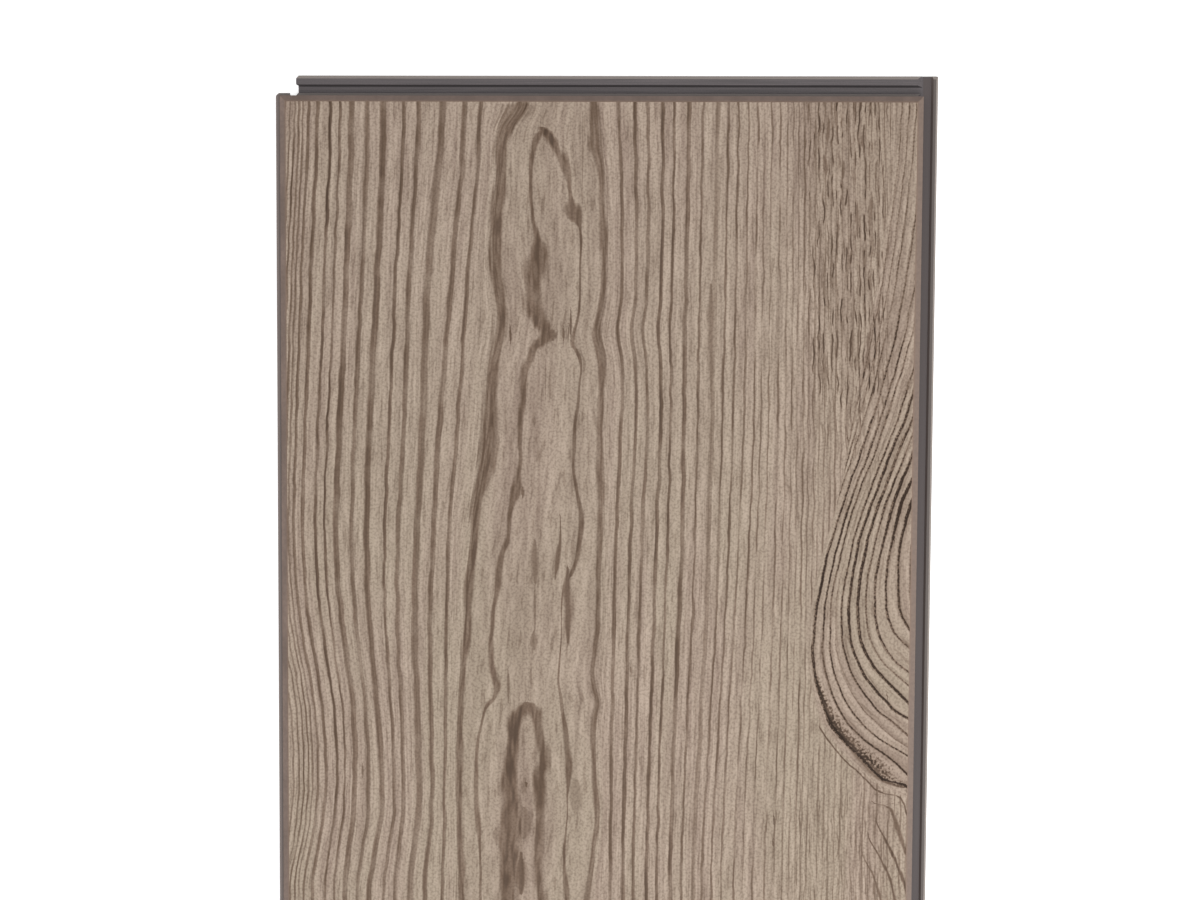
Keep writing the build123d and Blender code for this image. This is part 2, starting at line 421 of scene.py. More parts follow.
# Torn cracks: pixels from one to the next, how far they wind, and their noises
CRACK_GAP = 4.6
CRACK_BEND = 6.5
CRACK_BEND_SCALE = (0.06, 0.035)
CRACK_TEAR_SCALE = (3.3, 0.03)
CRACK_WIDTH = (1.2, 0.3)  # pixels from its middle, from none of a crack to all of it
PORE_SCALE = (0.3, 0.025)
CRACK_LIMIT = 1.12  # most darkness

# Pixels over which the rough patch, its worn top and the weaker cracks by the knot set in or end
ROUGH_LEFT = (785, 830)
ROUGH_RIGHT = (897, 872)
ROUGH_LOW = (520, 330)
ROUGH_WORN = (290, 150)
WEAK_LEFT = (760, 800)
WEAK_RIGHT = (910, 870)
WEAK_TOP = (750, 830)
WEAK_LOW = (1150, 950)
WEAK_AMOUNT = 0.42
ELSEWHERE_AMOUNT = 0.12

# The wood inside the figure is a little darker. All over the face it is olive in patches, more so lower down.
INSIDE_LEFT = (508, 525)
INSIDE_RIGHT = (598, 580)
INSIDE_SHADE = 0.1
OLIVE_ROWS = (300, 650)
OLIVE_AMOUNTS = (0.28, 0.6)

# Colours as they look on screen, 0 to 255
EARLY_DARK = (149, 131, 118)
EARLY_LIGHT = (171, 154, 139)
EARLY_OLIVE = (163, 150, 132)
LATE_DARK = (98, 80, 66)
LATE_LIGHT = (116, 97, 83)
CHARRED = (42, 31, 24)
GRAIN_DARK = (76, 61, 50)
GLINT = (200, 182, 166)
PAINT_DARK = (110, 95, 87)
PAINT_LIGHT = (126, 109, 100)
# Painted shade: a darker tone for the bevel where it faces the far end, away from the light
PAINT_FAR_SHADED = (96, 82, 76)
# Painted light: the bevel's tone where it faces right, towards the softbox
PAINT_RIGHT_LIT = (120, 103, 92)
PAINT_FLECK = (92, 78, 72)
PAINT_RIM = (128, 104, 86)
CORE_DARK = (82, 77, 78)
CORE_LIGHT = (96, 90, 91)
CORE_GRIT = (70, 66, 68)
# The side strip's brown tint, darkened with painted shade in the groove beside the face
CORE_SIDE_FLOOR_TINT_AND_SHADE = (76, 67, 65)
CORE_SIDE_BEAD = (94, 86, 81)
# Painted light: lighter outward-facing chamfers, as lit by the white surroundings
CORE_LIT_CHAMFER = (146, 137, 131)
# Painted shadow on the walls that face back towards the face
CORE_GROOVE_SHADOW = (44, 40, 41)
# Painted light: a lighter tone for upward slopes that face left, mostly the side strip's locking wall
CORE_LOCK_LIT = (104, 92, 87)
CORE_DUST = (132, 120, 115)

# Depth of the relief in each surface
PRINT_RELIEF = 0.00006
PAINT_RELIEF = 0.00004
CORE_RELIEF = 0.00003

# Noises of the paint and the core: cycles a metre
CLOUD_SCALE = (260.0, 60.0)
FLECK_SCALE = 900.0
MILL_FINE = 5000.0
MILL_LONG = 35.0
GRIT_SCALE = 2600.0
GRIT_TURN = (0.82, 0.57)  # cosine and sine of the angle by which a noise with no direction is turned

# Tints of the paint and the core, with their painted light and shade: how far they blend, where the sides
# begin inside the face's edge, and where the side strip's bead rises beyond it
TINT_BLEND = 0.0002
SIDE_START = 0.0008
BEAD_RISE = (0.0026, 0.0032)
# The core's slopes get painted light and painted shadow by which way they face
LEAN = (0.25, 0.6)  # part of a slope's normal, from none of its tint to all of it
# The bevel's slopes get painted shade and painted light by which way they face
BEVEL_LEAN = (0.1, 0.25)

# Floor and light
FLOOR_HALF = 6.0
FLOOR_GLOW = 0.6
WORLD_STRENGTH = 0.6
SOFTBOX_SIZE = 1.0
SOFTBOX_WATTS = 13
SOFTBOX_PLACE = (0.45, 0.0, 0.9)
SOFTBOX_AIM = (0, 0.4, 0)


def linear(shown):
    """A colour as it looks on screen, 0 to 255, in the form that the shaders take."""
    shown = np.array(shown) / 255
    return (*np.where(shown <= 0.04045, shown / 12.92, ((shown + 0.055) / 1.055) ** 2.4), 1.0)


# Photo coordinates

camera_turn = Euler([math.radians(a) for a in CAMERA_TURN_DEG], "XYZ")
camera_axes = np.array(camera_turn.to_matrix())


def photo_pixel(x, y):
    """The photo's pixel for points of the face."""
    points = np.stack([x, y, np.full_like(x, FACE_Z)], axis=-1) - np.array(CAMERA_PLACE)
    local = points @ camera_axes
    column = PHOTO_WIDTH / 2 - FOCAL_PX * local[..., 0] / local[..., 2]
    row = PHOTO_HEIGHT / 2 + FOCAL_PX * local[..., 1] / local[..., 2]
    return column, row


def last_seen_y():
    """Where the face leaves the photo, just past its lower edge."""
    y = np.linspace(DECOR_HIGH[1], DECOR_LOW[1], EDGE_STEPS)
    row = photo_pixel(np.zeros_like(y), y)[1]
    return y[np.argmax(row > SEEN_ROWS)]


SEEN_END = last_seen_y()
edge_rows = photo_pixel(np.zeros(2), np.array([SEEN_END + SCALE_STEP, SEEN_END]))[1]
PX_PER_METRE = (edge_rows[1] - edge_rows[0]) / SCALE_STEP


def photo_sheet(x, y):
    """Photo pixels for the whole face: past the photo's lower edge the sheet runs on at its scale there."""
    column, row = photo_pixel(x, np.maximum(y, SEEN_END))
    return column, row + np.maximum(SEEN_END - y, 0) * PX_PER_METRE


# Grain


def smooth_line(points, rows):
    """A smooth curve through (row, value) points, level before the first and after the last."""
    at = np.array([p[0] for p in points], float)
    value = np.array([p[1] for p in points], float)
    slope = np.gradient(value, at)
    slope[0] = slope[-1] = 0
    inside = np.clip(rows, at[0], at[-1])
    k = np.clip(np.searchsorted(at, inside) - 1, 0, len(at) - 2)
    gap = at[k + 1] - at[k]
    t = (inside - at[k]) / gap
    return (
        value[k] * (2 * t**3 - 3 * t**2 + 1)
        + value[k + 1] * (3 * t**2 - 2 * t**3)
        + gap * slope[k] * (t**3 - 2 * t**2 + t)
        + gap * slope[k + 1] * (t**3 - t**2)
    )


def hump(value, middle, width):
    """One at the middle, falling away smoothly on both sides."""
    return np.exp(-(((value - middle) / width) ** 2))


def wander(row, column):
    """Slow bends that carry the lines on below the part that the photo shows."""
    past = np.maximum(row - PHOTO_HEIGHT, 0)
    grow = past / (past + WANDER_ROWS)
    left, right = FACE_COLUMNS
    left_share, right_share = WANDER_SHARES
    share = left_share + (right_share - left_share) * (column - left) / (right - left)
    bends = sum(swing * np.sin(past / rows + phase) for swing, rows, phase in WANDER_WAVES)
    return grow * share * bends


def grain_across(guides, names, column, row):
    """The name of the grain line through each point, between guides."""
    lines = [smooth_line(points, row) for points in guides]
    lines = [lines[0] - MARGIN_PX] + lines + [lines[-1] + MARGIN_PX]
    names = [names[0] - MARGIN_PX, *names, names[-1] + MARGIN_PX]
    across = np.full_like(column, names[0])
    for k in range(len(lines) - 1):
        share = (column - lines[k]) / np.maximum(lines[k + 1] - lines[k], LEAST_GAP_PX)
        across += (names[k + 1] - names[k]) * np.clip(share, 0, 1)
    return across


def far_figure(path, halves, side, share, waist_gap, waist_half, belly_half):
    """One side of the figure, carried on to the near end of the plank."""
    path = list(path)
    halves = list(halves)
    for k, (middle, widest) in enumerate(FAR_BELLIES):
        first, last = FAR_WAISTS[k : k + 2]
        for along, width in FAR_SHAPE:
            row = first + (last - first) * along
            path.append((row, middle + side * share * widest * width))
            halves.append((row, belly_half))
        following = FAR_BELLIES[min(k + 1, len(FAR_BELLIES) - 1)][0]
        path.append((last, (middle + following) / 2 + side * waist_gap))
        halves.append((last, waist_half))
    return path, halves


def past_ends(row, first, last):
    """How many pixels each row is before the first row or after the last one."""
    return np.maximum(np.maximum(first - row, row - last), 0)


def stroke_place(path, halves, column, row):
    """Signed distance from a stroke's middle, in its half widths, which grows past its ends."""
    middle = smooth_line(path, row)
    slope = smooth_line(path, row + 1) - smooth_line(path, row - 1)
    place = (column - middle) / np.hypot(1, slope / 2) / smooth_line(halves, row)
    beyond = past_ends(row, path[0][0], path[-1][0]) / END_PX
    return np.where(place < 0, place - beyond, place + beyond)


def mark_shapes():
    """The thin strokes and the short upright marks, all as (path, half widths, darkness)."""
    marks = list(THIN_STROKES.values())
    for middle, first, last, half, dark in DASHES:
        taper = DASH_TAPER * (last - first)
        tip = DASH_TIP * half
        halves = ((first, tip), (first + taper, half), (last - taper, half), (last, tip))
        marks.append((((first, middle), (last, middle)), halves, dark))
    return marks


def nearest_mark(column, row):
    """Place beside the nearest thin stroke or short mark, its distance in pixels and its darkness."""
    nearest = np.full_like(row, FAR_OFF)
    place = np.full_like(row, FAR_OFF)
    shade = np.zeros_like(row)
    for path, halves, dark in mark_shapes():
        own_place = stroke_place(path, halves, column, row)
        half = smooth_line(halves, row)
        away = np.abs(own_place) * half
        own_shade = np.where(away < np.maximum(MARK_REACH * half, MARK_ROOM), dark, 0)
        closer = away < nearest
        nearest = np.where(closer, away, nearest)
        place = np.where(closer, own_place, place)
        shade = np.where(closer, own_shade, shade)
    return np.clip(place, -FAR_OFF, FAR_OFF), nearest, shade


# The face's mesh


def stops(low, high, step):
    """Evenly spaced places from low to high, about a step apart."""
    return np.linspace(low, high, max(2, round((high - low) / step) + 1))


def face_grid():
    """Places of the grid across and along the flat of the face."""
    xs = stops(FLAT_LOW[0], FLAT_HIGH[0], ACROSS_STEP)
    seen = stops(SEEN_END, FLAT_HIGH[1], SEEN_STEP)
    unseen = stops(FLAT_LOW[1], SEEN_END, UNSEEN_STEP)
    return xs, np.concatenate([unseen[:-1], seen])


def decor_mesh(xs, ys):
    """The wear layer: a gridded face, its bevel, its square edge and its back."""
    grid_x, grid_y = np.meshgrid(xs, ys)
    face = np.stack([grid_x.ravel(), grid_y.ravel(), np.full(grid_x.size, FACE_Z)], axis=1)
    index = np.arange(len(face)).reshape(len(ys), len(xs))
    rim = np.concatenate([index[0], index[1:, -1], index[-1, -2::-1], index[-2:0:-1, 0]])

    outer = face[rim].copy()
    for axis in range(2):
        outer[outer[:, axis] <= FLAT_LOW[axis] + SAME_HEIGHT, axis] = DECOR_LOW[axis]
        outer[outer[:, axis] >= FLAT_HIGH[axis] - SAME_HEIGHT, axis] = DECOR_HIGH[axis]
    outer[:, 2] = BEVEL_FOOT
    lower = outer.copy()
    lower[:, 2] = DECOR_LOW[2]

    ring = np.arange(len(rim))
    after = np.roll(ring, -1)
    upper_edge = len(face) + ring
    lower_edge = upper_edge + len(rim)
    corners = [index[:-1, :-1], index[:-1, 1:], index[1:, 1:], index[1:, :-1]]
    quads = np.stack(corners, axis=-1).reshape(-1, 4)
    bevel = np.stack([upper_edge, upper_edge[after], rim[after], rim], axis=1)
    edge = np.stack([lower_edge, lower_edge[after], upper_edge[after], upper_edge], axis=1)
    back = lower_edge[::-1].tolist()

    mesh = bpy.data.meshes.new("decor_print")
    points = np.concatenate([face, outer, lower])
    mesh.from_pydata(points.tolist(), [], quads.tolist() + bevel.tolist() + edge.tolist() + [back])
    slots = np.ones(len(mesh.polygons), np.int32)
    slots[: len(quads)] = 0
    mesh.polygons.foreach_set("material_index", slots)
    mesh.update()
    add_map(mesh, len(quads) + len(bevel), len(edge))
    return mesh


def add_map(mesh, face_count, edge_count):
    """A bake map in which the face fills nearly the whole square, with the edge and the back beside it."""
    points = np.array([v.co for v in mesh.vertices])
    share = (points - DECOR_LOW) / (DECOR_HIGH - DECOR_LOW)
    layer = mesh.uv_layers.new(name="OFBake")
    for polygon in mesh.polygons:
        step = polygon.index - face_count
        for k, corner in enumerate(polygon.loop_indices):
            x, y, _ = share[mesh.loops[corner].vertex_index]
            if step < 0:
                place = (MAP_FACE[0] * x, MAP_FACE[1] * y)
            elif step < edge_count:
                along = step + (k in (1, 2))
                place = (MAP_FACE[0] * along / edge_count, MAP_EDGE[k // 2])
            else:
                place = (MAP_BACK[0] + (MAP_BACK[1] - MAP_BACK[0]) * x, MAP_FACE[1] * y)
            layer.data[corner].uv = place


def store(mesh, name, values):
    """Adds three values a point to a mesh, for its material."""
    layer = mesh.attributes.new(name, "FLOAT_VECTOR", "POINT")
    layer.data.foreach_set("vector", np.stack(values, axis=1).astype(np.float32).ravel())


def line_spacing(count, xs, ys):
    """Pixels from one line to the next, square to the grain, at each point of the mesh."""
    shape = (len(ys), len(xs))
    size = shape[0] * shape[1]
    along_slope, across_slope = np.gradient(count[:size].reshape(shape), ys, xs)
    spacing = np.full(len(count), SPACING_ELSEWHERE)
    spacing[:size] = PX_PER_METRE / np.maximum(np.hypot(along_slope, across_slope), LEAST_SLOPE).ravel()
    return np.clip(spacing, *SPACING_RANGE)


def add_lines(mesh, prefix, lines, across, xs, ys, widen, darken):
    """Stores a set of latewood lines: the place between them, and the nearest line's looks."""
    names, half, dark, soft = np.array(lines).T
    count = np.interp(across, names, np.arange(len(names)))
    store(mesh, f"{prefix}_grain", (count, line_spacing(count, xs, ys), across))
    width = np.interp(across, names, half) * widen
    darkness = np.interp(across, names, dark) * darken
    store(mesh, f"{prefix}_line", (width, darkness, np.interp(across, names, soft)))


def add_face_lines(mesh, column, row, xs, ys):
    """Stores the upright lines."""
    pale = np.interp(row, PALE_ROWS, (0, 1)) * np.interp(column, PALE_COLUMNS, (1, 0))
    across = grain_across(GUIDES, [guide[0][1] for guide in GUIDES], column, row)
    add_lines(mesh, "face", LINES, across, xs, ys, 1 - PALE_THINNER * pale, 1 - PALE_FAINTER * pale)


def add_knot_lines(mesh, column, row, xs, ys):
    """Stores the lines that swing round the knot."""
    across = grain_across(KNOT_GUIDES, KNOT_NAMES, column, row)
    above = np.interp(row, ABOVE_ROWS, (1, 0))
    ember = hump(column, EMBER_COLUMN, EMBER_WIDTH) * hump(row, EMBER_ROW, EMBER_HEIGHT)
    rim = hump(across, RIM_NAME, RIM_WIDTH) * np.interp(row, RIM_ROWS, (0, 1))
    middle = hump(across, MIDDLE_NAME, MIDDLE_WIDTH) * hump(row, MIDDLE_ROW, MIDDLE_HEIGHT)
    faint = hump(across, FAINT_NAME, FAINT_WIDTH) * np.interp(row, FAINT_ROWS, (1, 0))
    places = ((above, ABOVE_ADDS), (ember, EMBER_ADDS), (rim, RIM_ADDS), (middle, MIDDLE_ADDS))
    widen = KNOT_LOOKS[0] + sum(amount * adds[0] for amount, adds in places)
    darken = KNOT_LOOKS[1] + sum(amount * adds[1] for amount, adds in places)
    add_lines(mesh, "knot", KNOT_LINES, across, xs, ys, widen, darken * (1 - faint))


def add_strokes(mesh, column, row):
    """Stores the place beside each stroke, with three strokes to a layer."""
    places = []
    for name, (path, halves, _) in STROKES.items():
        if name in FAR_SIDES:
            path, halves = far_figure(path, halves, *FAR_SIDES[name])
        if name in RUN_ON:
            path = (*path, (FAR_WAISTS[-1], path[-1][1]))
            halves = (*halves, (FAR_WAISTS[-1], halves[-1][1]))
        places.append(np.clip(stroke_place(path, halves, column, row), -FAR_OFF, FAR_OFF))
    places += [np.ones_like(row)] * (-len(places) % 3)
    for k in range(0, len(places), 3):
        store(mesh, f"strokes_{k // 3}", places[k : k + 3])


def add_grain(mesh, xs, ys):
    """Stores, at each point of the face, its place in the grain and beside each stroke."""
    points = np.array([v.co for v in mesh.vertices])
    column, row = photo_sheet(points[:, 0], points[:, 1])
    column = column - wander(row, column)
    store(mesh, "place", (column, row, np.zeros_like(row)))
    add_face_lines(mesh, column, row, xs, ys)
    add_knot_lines(mesh, column, row, xs, ys)
    add_strokes(mesh, column, row)
    store(mesh, "marks", nearest_mark(column, row))


# Materials


class Nodes:
    """A material's node tree, built from short calls."""

    def __init__(self, name):
        self.material = bpy.data.materials.new(name)
        self.material.use_nodes = True
        self.tree = self.material.node_tree
        self.shader = self.tree.nodes["Principled BSDF"]

    def add(self, kind, inputs=(), **settings):
        node = self.tree.nodes.new(kind)
        for key, value in settings.items():
            setattr(node, key, value)
        for key, value in dict(inputs).items():
            self.set(node.inputs[key], value)
        return node

    def set(self, socket, value):
        if isinstance(value, bpy.types.NodeSocket):
            self.tree.links.new(value, socket)
        elif value is not None:
            socket.default_value = value

    def math(self, operation, a, b=None, c=None):
        node = self.add("ShaderNodeMath", operation=operation)
        for socket, value in zip(node.inputs, (a, b, c)):
            self.set(socket, value)
        return node.outputs[0]

    def scaled(self, value, factor, offset=0.0):
        return self.math("MULTIPLY_ADD", value, factor, offset)

    def centred(self, noise, size):
        """A noise that swings about zero, by half the size to each side."""
        return self.scaled(noise, size, -size / 2)

    def rest(self, share):
        """What a share leaves of one."""
        return self.scaled(share, -1.0, 1.0)

    def smooth(self, value, low, high, bottom=0.0, top=1.0):
        """From bottom at low to top at high, with soft ends."""
        ends = {"Value": value, "From Min": low, "From Max": high, "To Min": bottom, "To Max": top}
        return self.add("ShaderNodeMapRange", ends, interpolation_type="SMOOTHSTEP").outputs[0]

    def largest(self, values):
        total = values[0]
        for value in values[1:]:
            total = self.math("MAXIMUM", total, value)
        return total

    def product(self, *values):
        total = values[0]
        for value in values[1:]:
            total = self.math("MULTIPLY", total, value)
        return total

    def split(self, vector):
        return self.add("ShaderNodeSeparateXYZ", {"Vector": vector}).outputs

    def attribute(self, name):
        return self.split(self.add("ShaderNodeAttribute", attribute_name=name).outputs["Vector"])

    def object_place(self):
        return self.split(self.add("ShaderNodeTexCoord").outputs["Object"])

    def facing(self):
        return self.split(self.add("ShaderNodeNewGeometry").outputs["True Normal"])

    def vector(self, x, y):
        return self.add("ShaderNodeCombineXYZ", {"X": x, "Y": y}).outputs[0]

    def noise(self, x, y, x_scale, y_scale, shift=0.0, detail=1.0, roughness=0.5):
        """Noise with its own scale each way, in cycles for each unit. The shift sets it apart from others."""
        place = self.vector(self.scaled(x, x_scale, shift), self.scaled(y, y_scale, shift))
        settings = {"Vector": place, "Scale": 1.0, "Detail": detail, "Roughness": roughness}
        return self.add("ShaderNodeTexNoise", settings, noise_dimensions="2D").outputs["Fac"]

    def grit(self, x, y, scale, shift=0.0, detail=1.0):
        """Grains with no direction: noise on axes that are turned away from x and y."""
        cosine, sine = GRIT_TURN
        turned = self.math("ADD", self.scaled(x, cosine), self.scaled(y, sine))
        crossed = self.math("SUBTRACT", self.scaled(y, cosine), self.scaled(x, sine))
        return self.noise(turned, crossed, scale, scale, shift, detail)

    def mix(self, share, a, b):
        """Mixes two colours, each from a socket or as it looks on screen."""
        node = self.add("ShaderNodeMix", data_type="RGBA")
        self.set(node.inputs[0], share)
        for socket, colour in ((node.inputs[6], a), (node.inputs[7], b)):
            self.set(socket, linear(colour) if isinstance(colour, tuple) else colour)
        return node.outputs[2]

    def bump(self, height, strength, distance):
        inputs = {"Height": height, "Strength": strength, "Distance": distance}
        self.set(self.shader.inputs["Normal"], self.add("ShaderNodeBump", inputs).outputs[0])

    def finish(self, colour, roughness, specular):
        """Sets the shader's colour, roughness and strength of reflection."""
        self.set(self.shader.inputs["Base Color"], colour)
        self.set(self.shader.inputs["Roughness"], roughness)
        self.shader.inputs["Specular IOR Level"].default_value = specular


def ring_lines(n, prefix, row, fibre, fray, fading):
    """Darkness of a set of latewood lines, which come and go past the name where fading begins."""
    count, spacing, across = n.attribute(f"{prefix}_grain")
    half, dark, soft = n.attribute(f"{prefix}_line")
    nearest = n.math("ROUND", count)
    away = n.product(n.math("SUBTRACT", count, nearest), spacing)
    sway = n.noise(across, row, *SWAY_SCALE, detail=2.0)
    away = n.math("ADD", away, n.centred(sway, SWAY_PX))
    away = n.math("ADD", away, n.centred(fibre, fray))
    past_half = n.math("SUBTRACT", n.math("ABSOLUTE", away), half)
    body = n.smooth(past_half, n.scaled(soft, SOFT_SHARE), n.scaled(soft, -SOFT_SHARE))
    strength = n.noise(nearest, row, *STRENGTH_SCALE, detail=3.0, roughness=0.65)
    faintest = n.smooth(across, fading, fading + FADING_WIDTH, 0.7, 0.22)
    return n.product(body, dark, n.smooth(strength, 0.3, 0.6, faintest, 1.1))


def stroke_marks(n, fibre, hatch, grain):
    """Darkness of the figure's and the knot's strokes, with edges broken by the fibre."""
    total = None
    break_up = n.centred(fibre, STROKE_BREAK_UP)
    crumbled = n.centred(grain, CHAR_CRUMBLE)
    for k, (name, (_, _, dark)) in enumerate(STROKES.items()):
        if k % 3 == 0:
            channels = n.attribute(f"strokes_{k // 3}")
        place = channels[k % 3]
        if name == "knot_char":
            inner = n.smooth(n.math("ADD", place, crumbled), 2.2, 0.0)
            mark = n.product(n.smooth(place, -1.5, -0.7, 0.0, dark), inner)
        else:
            place = n.math("ADD", place, break_up)
            mark = n.product(n.smooth(place, -1.6, -0.5, 0.0, dark), n.smooth(place, 1.6, 0.5))
        total = mark if total is None else n.math("MAXIMUM", total, mark)
    return n.product(total, n.smooth(hatch, 0.3, 0.68, 0.76, 1.06))


def small_marks(n, fibre):
    """Darkness of the thin strokes and the short upright marks."""
    place, distance, dark = n.attribute("marks")
    away = n.math("ABSOLUTE", n.math("ADD", place, n.centred(fibre, MARK_BREAK_UP)))
    return n.product(n.smooth(away, 1.5, 0.4), n.smooth(distance, *MARK_ENDS), dark)


def cracks(n, column, row, fibre):
    """Thin torn cracks in the rough patch at the upper right and, weaker, round the knot."""
    bend = n.noise(column, row, *CRACK_BEND_SCALE, shift=1.9, detail=2.0)
    bent = n.math("ADD", column, n.centred(bend, CRACK_BEND))
    count = n.scaled(bent, 1 / CRACK_GAP)
    nearest = n.math("ROUND", count)
    away = n.scaled(n.math("ABSOLUTE", n.math("SUBTRACT", count, nearest)), CRACK_GAP)
    torn = n.smooth(n.noise(nearest, row, *CRACK_TEAR_SCALE, shift=4.3, detail=2.0), 0.42, 0.58)
    thin = n.product(n.smooth(away, *CRACK_WIDTH), torn)
    pores = n.smooth(n.noise(bent, row, *PORE_SCALE, shift=6.1), 0.55, 0.66, 0.0, 0.45)
    rough = n.product(n.smooth(column, *ROUGH_LEFT), n.smooth(column, *ROUGH_RIGHT))
    rough = n.product(rough, n.smooth(row, *ROUGH_LOW))
    weak = n.product(n.smooth(column, *WEAK_LEFT), n.smooth(column, *WEAK_RIGHT))
    weak = n.product(weak, n.smooth(row, *WEAK_TOP), n.smooth(row, *WEAK_LOW), WEAK_AMOUNT)
    amount = n.math("ADD", n.math("MAXIMUM", rough, weak), ELSEWHERE_AMOUNT)
    hatched = n.smooth(fibre, 0.36, 0.56, 0.6, 1.4)
    marks = n.product(n.math("MAXIMUM", thin, pores), amount, hatched)
    tone_shift = n.product(rough, n.smooth(row, *ROUGH_WORN, 0.0, 0.2))
    return n.math("MINIMUM", n.math("ADD", marks, tone_shift), CRACK_LIMIT)


def print_darkness(n, column, row, in_knot, fibre, hatch, grain):
    """Darkness of the print: every line, stroke, mark and crack, and the shades between them."""
    count, _, upright = n.attribute("face_grain")
    knot_count = n.attribute("knot_grain")[0]
    face_lines = n.product(ring_lines(n, "face", row, fibre, FACE_FRAY, FACE_FADING), n.rest(in_knot))
    grainy = n.smooth(grain, 0.36, 0.62, 1.22, 0.8)
    knot_lines = n.product(ring_lines(n, "knot", row, fibre, KNOT_FRAY, KNOT_FADING), in_knot, grainy)
    strokes = stroke_marks(n, fibre, hatch, grain)
    specks = n.smooth(hatch, 0.6, 0.74, 0.0, 0.4)
    marks = [face_lines, knot_lines, strokes, small_marks(n, fibre), cracks(n, column, row, fibre), specks]
    face_shade = n.smooth(n.math("FRACT", count), 0.45, 1.0, 0.0, 0.12)
    knot_shade = n.smooth(n.math("FRACT", knot_count), 0.7, 0.0, 0.04, 0.3)
    shade = n.math("MAXIMUM", face_shade, n.product(knot_shade, in_knot))
    inside = n.product(n.smooth(upright, *INSIDE_LEFT), n.smooth(upright, *INSIDE_RIGHT), INSIDE_SHADE)
    return n.math("ADD", n.math("ADD", n.largest(marks), shade), inside)


def print_colour(n, dark, row, streak, hatch, patch, grain):
    """Colour of the print: earlywood and latewood by darkness, with char, grains and glints."""
    light = n.smooth(streak, *NOISE_RANGE)
    early = n.mix(light, EARLY_DARK, EARLY_LIGHT)
    olive = n.product(n.smooth(patch, 0.3, 0.66), n.smooth(row, *OLIVE_ROWS, *OLIVE_AMOUNTS))
    early = n.mix(olive, early, EARLY_OLIVE)
    late = n.mix(light, LATE_DARK, LATE_LIGHT)
    colour = n.mix(dark, early, late)
    colour = n.mix(n.smooth(dark, 0.9, 1.45), colour, CHARRED)
    colour = n.mix(n.smooth(grain, 0.3, 0.6, 0.3, 0.0), colour, GRAIN_DARK)
    glint = n.product(n.smooth(hatch, 0.5, 0.25, 0.0, 0.2), n.smooth(dark, 0.5, 0.1))
    return n.mix(glint, colour, GLINT)


def pine_print():
    """The printed pine: pale earlywood, brown latewood lines, the flame figure and the knot."""
    n = Nodes("pine_print")
    column, row, _ = n.attribute("place")
    upright = n.attribute("face_grain")[2]
    swung = n.attribute("knot_grain")[2]
    past_edge = n.math("SUBTRACT", swung, n.smooth(row, *KNOT_EDGE_ROWS, *KNOT_EDGE))
    in_knot = n.smooth(past_edge, -KNOT_EDGE_BLEND, KNOT_EDGE_BLEND)
    across = n.math("ADD", n.product(swung, in_knot), n.product(upright, n.rest(in_knot)))
    fibre = n.noise(across, row, *FIBRE_SCALE, roughness=0.6)
    streak = n.noise(across, row, *STREAK_SCALE, shift=2.7, detail=2.0, roughness=0.8)
    hatch = n.noise(across, row, *HATCH_SCALE, shift=9.1, roughness=0.7)
    patch = n.noise(across, row, *PATCH_SCALE, shift=5.2)
    grain = n.grit(column, row, GRAIN_SCALE, shift=7.7)
    dark = print_darkness(n, column, row, in_knot, fibre, hatch, grain)
    colour = print_colour(n, dark, row, streak, hatch, patch, grain)
    n.finish(colour, n.smooth(dark, 0.0, 1.0, 0.66, 0.56), 0.08)
    n.bump(fibre, 0.2, PRINT_RELIEF)
    return n.material


def bevel_paint():
    """Brown paint on the bevel and the edge of the wear layer, with painted shade where it faces the far end
    and painted light where it faces right.
    """
    n = Nodes("bevel_paint")
    x, y, z = n.object_place()
    nx, ny, _ = n.facing()
    cloud = n.noise(x, y, *CLOUD_SCALE, detail=3.0)
    fleck = n.grit(x, y, FLECK_SCALE, detail=2.0)
    colour = n.mix(n.smooth(cloud, *NOISE_RANGE), PAINT_DARK, PAINT_LIGHT)
    # Painted shade where the bevel faces the far end
    colour = n.mix(n.smooth(ny, *BEVEL_LEAN, 0.0, 0.6), colour, PAINT_FAR_SHADED)
    # Painted light where the bevel faces right
    colour = n.mix(n.smooth(nx, *BEVEL_LEAN, 0.0, 0.8), colour, PAINT_RIGHT_LIT)
    colour = n.mix(n.smooth(fleck, 0.35, 0.7, 0.0, 0.25), colour, PAINT_FLECK)
    inner = n.smooth(z, FACE_Z - TINT_BLEND, FACE_Z, 0.0, 0.45)
    colour = n.mix(inner, colour, PAINT_RIM)
    n.finish(colour, n.smooth(cloud, *NOISE_RANGE, 0.5, 0.62), 0.3)
    n.bump(fleck, 0.2, PAINT_RELIEF)
    return n.material


